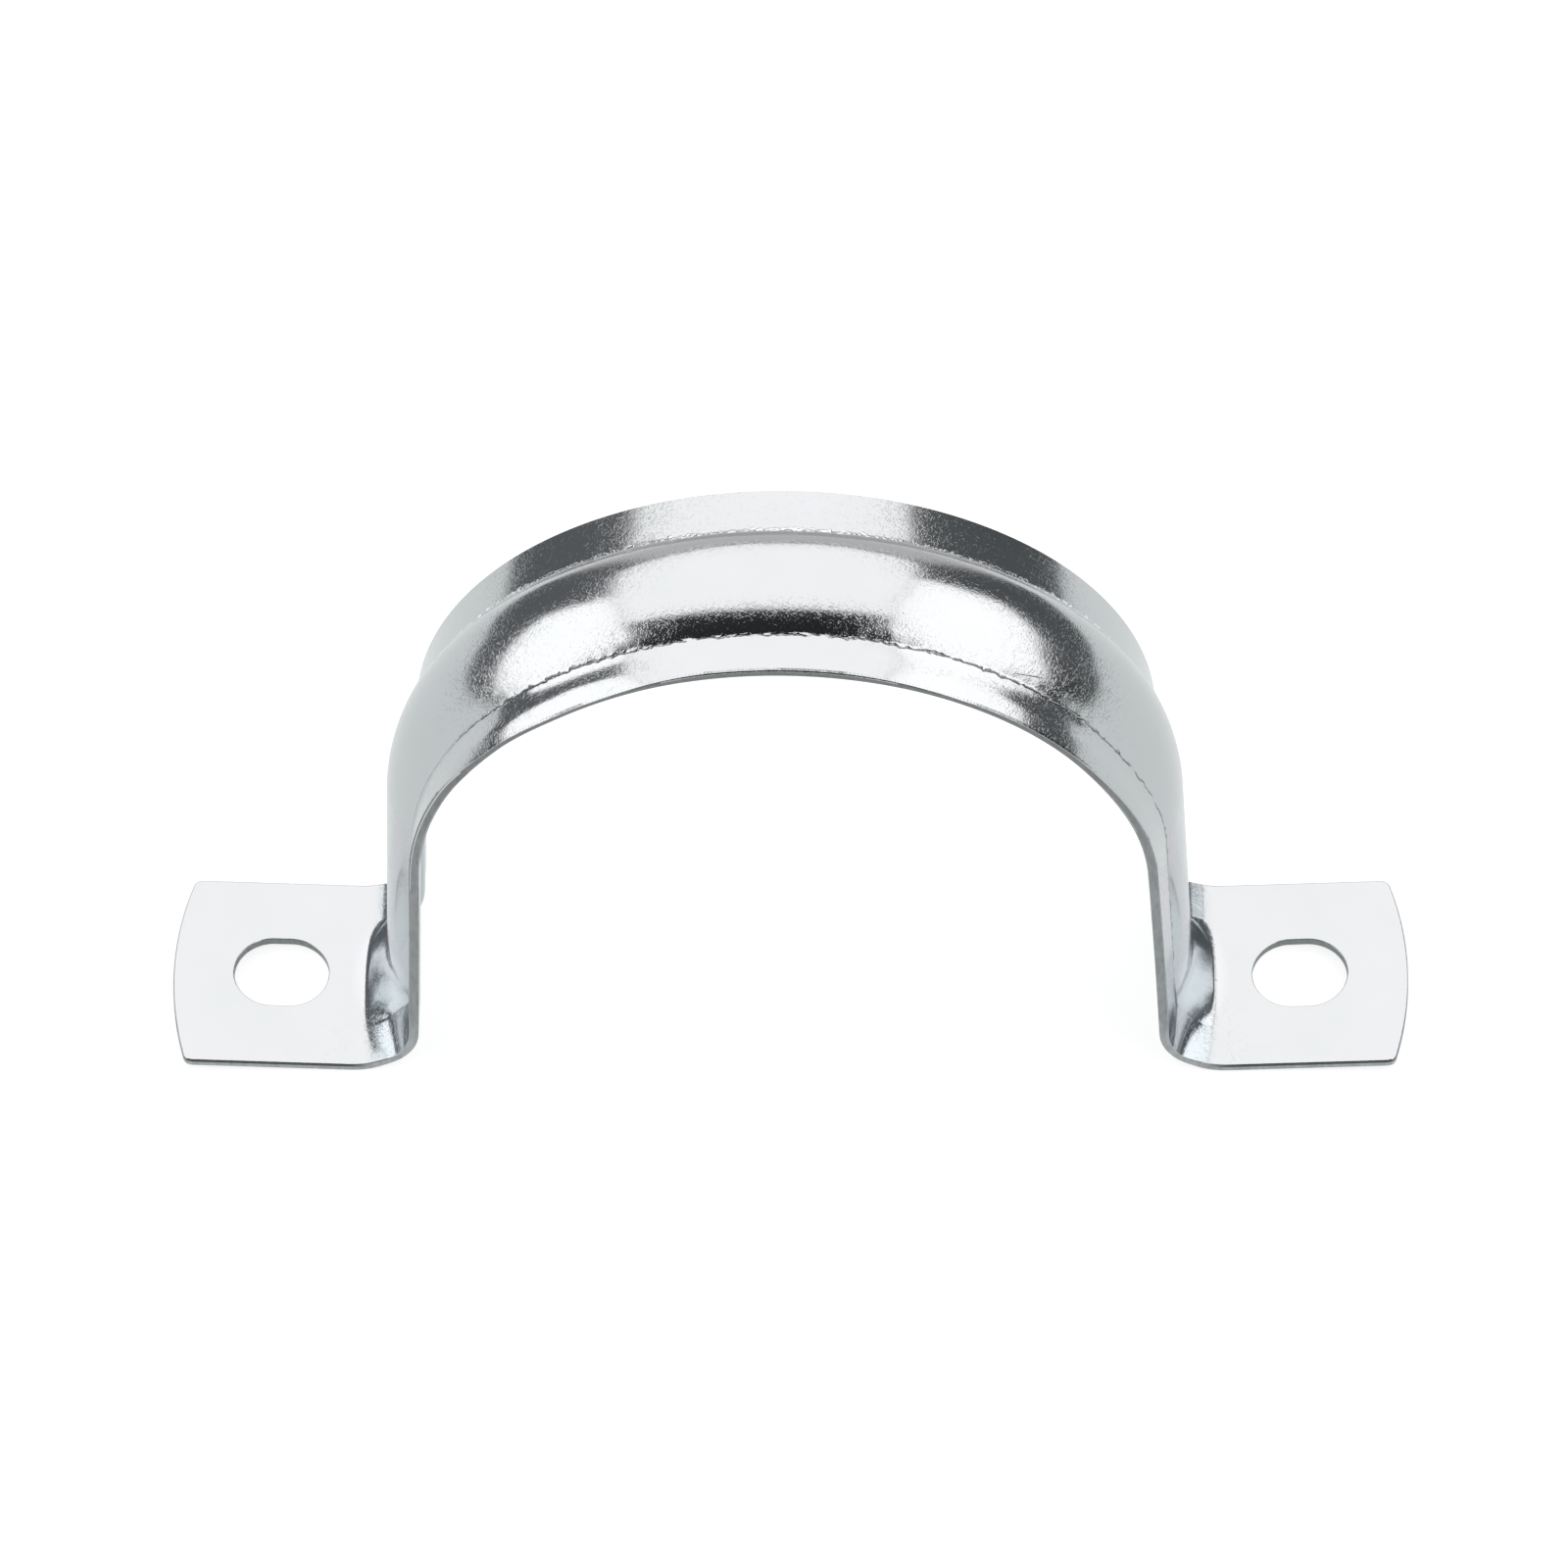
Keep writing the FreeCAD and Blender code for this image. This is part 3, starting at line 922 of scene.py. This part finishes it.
sway = product(tree, less(tree, noise_at(tree, place, 1300.0, 1.0), 0.5), 0.6 * mm)
off_line = less(tree, size_of(tree, axes["Y"]), crease_line * mm)
off_line = size_of(tree, less(tree, off_line, sway))
low_down = soft_step(tree, axes["Z"], 40.0 * mm, 26.0 * mm)
line_width = product(tree, total(tree, product(tree, low_down, 0.8), 1.0), dark_half_width * mm)
on_left = soft_step(tree, axes["X"], 0.0, -5.0 * mm)
runs_out = product(tree, on_left, soft_step(tree, axes["Z"], 50.0 * mm, 43.0 * mm))
crease = product(
    tree,
    soft_step(tree, calculate(tree, "DIVIDE", off_line, line_width), 1.0, 0.0),
    soft_step(tree, axes["Z"], 9.0 * mm, 13.0 * mm),
    soft_step(tree, noise_at(tree, place, 700.0, 1.0), 0.25, 0.48),
    less(tree, 1.0, runs_out),
    soft_step(tree, axes["Y"], 1.0 * mm, -1.0 * mm),
)
# Painted shade: the dark crease line darkens the base colour.
painted_shade_and_glint = product(tree, crease, 0.5)
print("zinc nodes with the dark line:", len(tree.nodes))

# %% Dot the back crease with a bump and painted glints
dots_line = 4.68
dots_half_width = 0.26

behind = size_of(tree, less(tree, axes["Y"], dots_line * mm, sway))
behind = calculate(tree, "DIVIDE", behind, dots_half_width * mm)
bright_dots = product(
    tree,
    soft_step(tree, behind, 1.0, 0.3),
    soft_step(tree, noise_at(tree, place, 2600.0, 1.0), 0.42, 0.60),
    soft_step(tree, axes["Z"], 44.0 * mm, 51.0 * mm),
)
# Painted glints: the dots lighten the base colour; the bump below is real relief.
painted_shade_and_glint = less(tree, painted_shade_and_glint, product(tree, bright_dots, 0.65))
height = total(tree, height, product(tree, bright_dots, 1.5))
height = less(tree, height, product(tree, crease, 4.5))
print("zinc nodes with the bright dots:", len(tree.nodes))

# %% [markdown]
# Legs and pockets
#
# Low on the legs the plating is a little bluer than on the arch. The pocket where the bead runs out over
# the lug gets painted light: its base colour is made paler to stand for a brighter reflection. A second
# material would end in a hard line there. So heights and distances make soft masks: one for the leg above
# the lug's sheet, and an oval one for the pocket.

# %% Tint the legs and paint light into the pockets
pocket_middle = 36.0
pocket_half_length = 4.2
pocket_half_width = 6.6


def slope(tree, value, start, end, low, high):
    """A straight slope from low to high between start and end, and level outside them."""
    node = add_node(tree, "ShaderNodeMapRange")
    wire(tree, value, node.inputs["Value"])
    for socket, number in zip(node.inputs[1:5], (start, end, low, high)):
        socket.default_value = number
    return node.outputs["Result"]


def over_lug(tree, axes):
    """Distance from the middle of the clamp, and height over the middle of the lug's sheet."""
    aside = size_of(tree, axes["X"])
    lug_rise = product(tree, less(tree, aside, lug_plane.x), math.tan(spring))
    return aside, less(tree, axes["Z"], lug_rise, lug_plane.z)


aside, above = over_lug(tree, axes)
on_leg = soft_step(tree, axes["Z"], 28.0 * mm, 12.0 * mm)
on_leg = product(tree, on_leg, soft_step(tree, above, 0.5 * mm, 1.2 * mm))
along = calculate(tree, "DIVIDE", less(tree, aside, pocket_middle * mm), pocket_half_length * mm)
across = calculate(tree, "DIVIDE", axes["Y"], pocket_half_width * mm)
oval = total(tree, product(tree, along, along), product(tree, across, across))
# Painted light: the oval makes the base colour paler in the pocket.
pocket_painted_light = product(
    tree,
    soft_step(tree, oval, 1.0, 0.35),
    soft_step(tree, axes["Z"], 10.5 * mm, 7.0 * mm),
    slope(tree, above, 0.5 * mm, 0.9 * mm, 0.08, 0.3),
)
print("zinc nodes with the pockets:", len(tree.nodes))

# %% Join the bright zinc


def scaled(tree, colour, amount):
    """A colour made lighter or darker by an amount."""
    node = add_node(tree, "ShaderNodeVectorMath", operation="SCALE")
    wire(tree, colour, node.inputs[0])
    wire(tree, amount, node.inputs["Scale"])
    return node.outputs[0]


def bumped(tree, height, distance):
    """A Bump node's normal for a height."""
    node = add_node(tree, "ShaderNodeBump")
    node.inputs["Strength"].default_value = 1.0
    node.inputs["Distance"].default_value = distance * mm
    wire(tree, height, node.inputs["Height"])
    return node.outputs["Normal"]


blued = add_node(tree, "ShaderNodeVectorMath", operation="MULTIPLY")
wire(tree, colour, blued.inputs[0])
wire(tree, ramp(tree, on_leg, ((0.0, (1.0, 1.0, 1.0)), (1.0, (0.91, 0.973, 1.0)))), blued.inputs[1])
# The base colour is scaled by the painted light in the pockets, the painted shade of the front crease and
# the painted glints on the back crease.
lightness = less(tree, total(tree, 1.0, pocket_painted_light), painted_shade_and_glint)
wire(tree, scaled(tree, blued.outputs[0], lightness), shader["Base Color"])
wire(tree, bumped(tree, height, 0.016), shader["Normal"])
print("bright zinc nodes:", len(tree.nodes))

# %% [markdown]
# Sheared steel
#
# The cut edge shows where the blade sheared and then tore the sheet, so it is grey, dull and a little
# streaked. Its base colour also carries painted shade and light: darker high on the arch, paler near the
# floor, a painted dark band along the upper part of the cut on the front of the lugs, and painted shade on
# the walls of the slots. One material with soft masks does it all, because the places run into each other.

# %% Streak the cut
tree, shader, place, axes, grained = start_metal(sheared_steel, frosted=2.5, scratched=0.6)
streaks = add_node(tree, "ShaderNodeMapping")
wire(tree, place, streaks.inputs["Vector"])
streaks.inputs["Scale"].default_value = (2400.0, 500.0, 700.0)
torn = noise_at(tree, streaks.outputs["Vector"], 1.0, 3.0, 0.6)
colour = ramp(tree, torn, ((0.30, (0.27, 0.28, 0.285)), (0.72, (0.40, 0.41, 0.415))))
wire(tree, total(tree, product(tree, torn, 0.25), 0.33), shader["Roughness"])
wire(tree, bumped(tree, total(tree, grained["Height"], torn), 0.02), shader["Normal"])
print("streaked cut nodes:", len(tree.nodes))

# %% Paint shade and light on the cut
# Painted shade high on the arch, and painted light near the floor.
arch_painted_shade = soft_step(tree, axes["Z"], 25.0 * mm, 52.0 * mm)
at_floor = soft_step(tree, axes["Z"], 8.0 * mm, 4.0 * mm)
aside, above = over_lug(tree, axes)
# Painted shade: a dark band along the upper part of the cut on the front of the lugs.
lug_front_painted_shade = product(
    tree,
    soft_step(tree, above, 0.02 * mm, 0.16 * mm),
    soft_step(tree, axes["Y"], 0.0, -9.0 * mm),
    soft_step(tree, aside, 37.0 * mm, 40.0 * mm),
)
# Painted shade on the walls of the slots.
slot_painted_shade = product(
    tree,
    soft_step(tree, size_of(tree, axes["Y"]), 6.0 * mm, 4.0 * mm),
    soft_step(tree, aside, 52.0 * mm, 51.0 * mm),
    at_floor,
)
# All these masks scale the base colour as painted shade and light.
painted_shade_and_light = less(tree, 1.0, product(tree, arch_painted_shade, 0.28))
painted_shade_and_light = total(tree, painted_shade_and_light, product(tree, at_floor, 0.35))
painted_shade_and_light = less(tree, painted_shade_and_light, product(tree, lug_front_painted_shade, 1.05), product(tree, slot_painted_shade, 0.5))
wire(tree, scaled(tree, colour, painted_shade_and_light), shader["Base Color"])
print("sheared steel nodes:", len(tree.nodes))

# %% [markdown]
# The floor
#
# The clamp stands on white card. Bright metal shows where that card ends. Its back edge runs slanting,
# nearer in the middle than at the sides, so the three points along it are moved. To the light it is a
# plain white card, which gives the soft shadow. To the camera and to the metal it also glows a little, so
# that it comes out white, and Light Path tells the two apart. A far larger card would be simpler, but the
# metal would then show white where it is grey.

# %% Lay the floor
floor_size = 1.7
near_corner = (-0.12, 0.16, 0.0)
left_depth = 0.55
right_depth = 0.3

bpy.ops.object.select_all(action="DESELECT")
bpy.ops.mesh.primitive_plane_add(size=floor_size, location=(0.0, 0.0, 0.0))
floor = bpy.context.object
floor.name = "white_sweep"
bpy.ops.object.mode_set(mode="EDIT")
bpy.ops.mesh.subdivide(number_cuts=1)
bpy.ops.object.mode_set(mode="OBJECT")
for point in floor.data.vertices:
    if point.co.y < floor_size / 4:
        continue
    if abs(point.co.x) < floor_size / 4:
        point.co = near_corner
    else:
        point.co.y = left_depth if point.co.x < 0 else right_depth
print("floor faces:", len(floor.data.polygons))

# %% Whiten the floor
card_white = (0.82, 0.82, 0.82, 1.0)
shade_grey = (0.30, 0.30, 0.30, 1.0)

white_sweep = bpy.data.materials.new("white_sweep")
white_sweep.use_nodes = True
floor.data.materials.append(white_sweep)
tree = white_sweep.node_tree
tree.nodes.clear()
output = add_node(tree, "ShaderNodeOutputMaterial")
card = add_node(tree, "ShaderNodeBsdfDiffuse")
card.inputs["Color"].default_value = card_white
shade = add_node(tree, "ShaderNodeBsdfDiffuse")
shade.inputs["Color"].default_value = shade_grey
glow = add_node(tree, "ShaderNodeEmission")
rays = add_node(tree, "ShaderNodeLightPath").outputs
tinted = add_node(tree, "ShaderNodeCombineColor")
wire(tree, total(tree, product(tree, rays["Is Camera Ray"], 0.06), 0.94), tinted.inputs["Red"])
tinted.inputs["Green"].default_value = 1.0
tinted.inputs["Blue"].default_value = 1.0
wire(tree, tinted.outputs[0], glow.inputs["Color"])
wire(tree, total(tree, product(tree, rays["Is Camera Ray"], 0.20), 0.60), glow.inputs["Strength"])
seen_card = add_node(tree, "ShaderNodeAddShader")
wire(tree, shade.outputs[0], seen_card.inputs[0])
wire(tree, glow.outputs[0], seen_card.inputs[1])
seen = largest(tree, rays["Is Camera Ray"], rays["Is Glossy Ray"], rays["Is Transmission Ray"])
choice = add_node(tree, "ShaderNodeMixShader")
wire(tree, seen, choice.inputs["Fac"])
wire(tree, card.outputs[0], choice.inputs[1])
wire(tree, seen_card.outputs[0], choice.inputs[2])
wire(tree, choice.outputs[0], output.inputs["Surface"])
print("floor nodes:", len(tree.nodes))

# %% [markdown]
# The studio
#
# Bright metal is mostly a picture of its room. The room here has a long panel overhead from front to
# back, a soft light at each side with a slanting lower edge, a white far wall that only the metal shows,
# and darkness behind the camera and in the far corners. Lamps could be set up one by one, but a world
# that is painted by direction is smoother and stays out of every view.

# %% Find the directions of the room
studio = bpy.data.worlds.new("studio")
scene.world = studio
studio.use_nodes = True
tree = studio.node_tree
tree.nodes.clear()
direction = add_node(tree, "ShaderNodeSeparateXYZ")
wire(tree, add_node(tree, "ShaderNodeTexCoord").outputs["Generated"], direction.inputs[0])
side = direction.outputs["X"]
back = direction.outputs["Y"]
up = direction.outputs["Z"]
bearing = calculate(tree, "DEGREES", calculate(tree, "ARCTAN2", side, back))
left_bearing = product(tree, bearing, -1.0)
lift = calculate(tree, "DEGREES", calculate(tree, "ARCSINE", up))
print("direction nodes:", len(tree.nodes))

# %% Hang the panel overhead
panel_right = 0.58
panel_left = 0.94

safe_up = largest(tree, up, 0.02)
side_up = calculate(tree, "DIVIDE", side, safe_up)
back_up = calculate(tree, "DIVIDE", back, safe_up)
widening = product(tree, largest(tree, back_up, 0.0), 0.24)
right_room = less(tree, total(tree, widening, panel_right), side_up)
left_room = total(tree, widening, panel_left, side_up)
panel = product(
    tree,
    soft_step(tree, right_room, -0.07, 0.07),
    soft_step(tree, left_room, -0.09, 0.09),
    soft_step(tree, back_up, -0.50, -0.36),
    soft_step(tree, lift, 20.0, 23.5),
)
print("nodes with the panel:", len(tree.nodes))

# %% Stand a soft light at each side
right_sill = slope(tree, bearing, 50.0, 75.0, 5.0, 0.0)
right_sill = total(tree, right_sill, slope(tree, bearing, 92.0, 112.0, 17.5, 9.5))
right_turn = total(tree, bearing, slope(tree, lift, 29.0, 37.0, 0.0, 6.5))
right_box = product(
    tree,
    soft_step(tree, right_room, 0.05, -0.05),
    soft_step(tree, right_turn, 47.0, 55.0),
    soft_step(tree, bearing, 150.0, 141.0),
    soft_step(tree, less(tree, lift, right_sill), -2.5, 2.5),
)
left_sill = slope(tree, left_bearing, 60.0, 90.0, 12.0, 0.0)
left_sill = total(tree, left_sill, slope(tree, left_bearing, 90.0, 110.0, 8.5, 1.5))
left_box = product(
    tree,
    soft_step(tree, left_room, 0.08, -0.08),
    soft_step(tree, left_bearing, 59.0, 69.0),
    soft_step(tree, left_bearing, 140.0, 129.0),
    soft_step(tree, less(tree, lift, left_sill), -2.5, 2.5),
)
print("nodes with the side lights:", len(tree.nodes))

# %% Add the ground, the shade between the lights and the far wall
ground = soft_step(tree, lift, -13.0, -15.0)
shade_level = slope(tree, side, -0.3, 0.3, 0.155, 0.12)
shade_level = product(tree, shade_level, slope(tree, back, -0.5, 0.1, 0.2, 1.0))
far_wall = product(
    tree,
    soft_step(tree, size_of(tree, bearing), 31.0, 22.0),
    soft_step(tree, lift, 20.5, 17.5),
)
print("nodes with the far wall:", len(tree.nodes))

# %% Light the studio
panel_light = 1.52
box_light = 1.74
ground_light = 0.92
wall_light = 0.66

lit_panel = product(tree, panel, panel_light)
lit_boxes = product(tree, largest(tree, right_box, left_box), box_light)
lit_ground = product(tree, ground, ground_light)
light = largest(tree, lit_panel, lit_boxes, lit_ground, shade_level)
room = add_node(tree, "ShaderNodeBackground")
wire(tree, ramp(tree, light, ((0.10, (0.90, 0.96, 1.0)), (0.60, (1.0, 1.0, 1.0)))), room.inputs["Color"])
wire(tree, light, room.inputs["Strength"])
sweep = add_node(tree, "ShaderNodeBackground")
sweep.inputs["Color"].default_value = (1.0, 1.0, 1.0, 1.0)
rays = add_node(tree, "ShaderNodeLightPath").outputs
lit_wall = product(tree, rays["Is Glossy Ray"], far_wall, wall_light)
shown = largest(tree, lit_wall, rays["Is Camera Ray"], rays["Is Transmission Ray"])
choice = add_node(tree, "ShaderNodeMixShader")
wire(tree, shown, choice.inputs["Fac"])
wire(tree, room.outputs[0], choice.inputs[1])
wire(tree, sweep.outputs[0], choice.inputs[2])
output = add_node(tree, "ShaderNodeOutputWorld")
wire(tree, choice.outputs[0], output.inputs["Surface"])
print("studio nodes:", len(tree.nodes))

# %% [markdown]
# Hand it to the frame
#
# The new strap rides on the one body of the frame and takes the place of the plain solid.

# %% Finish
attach(strap, "root")
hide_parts("saddle_strap")
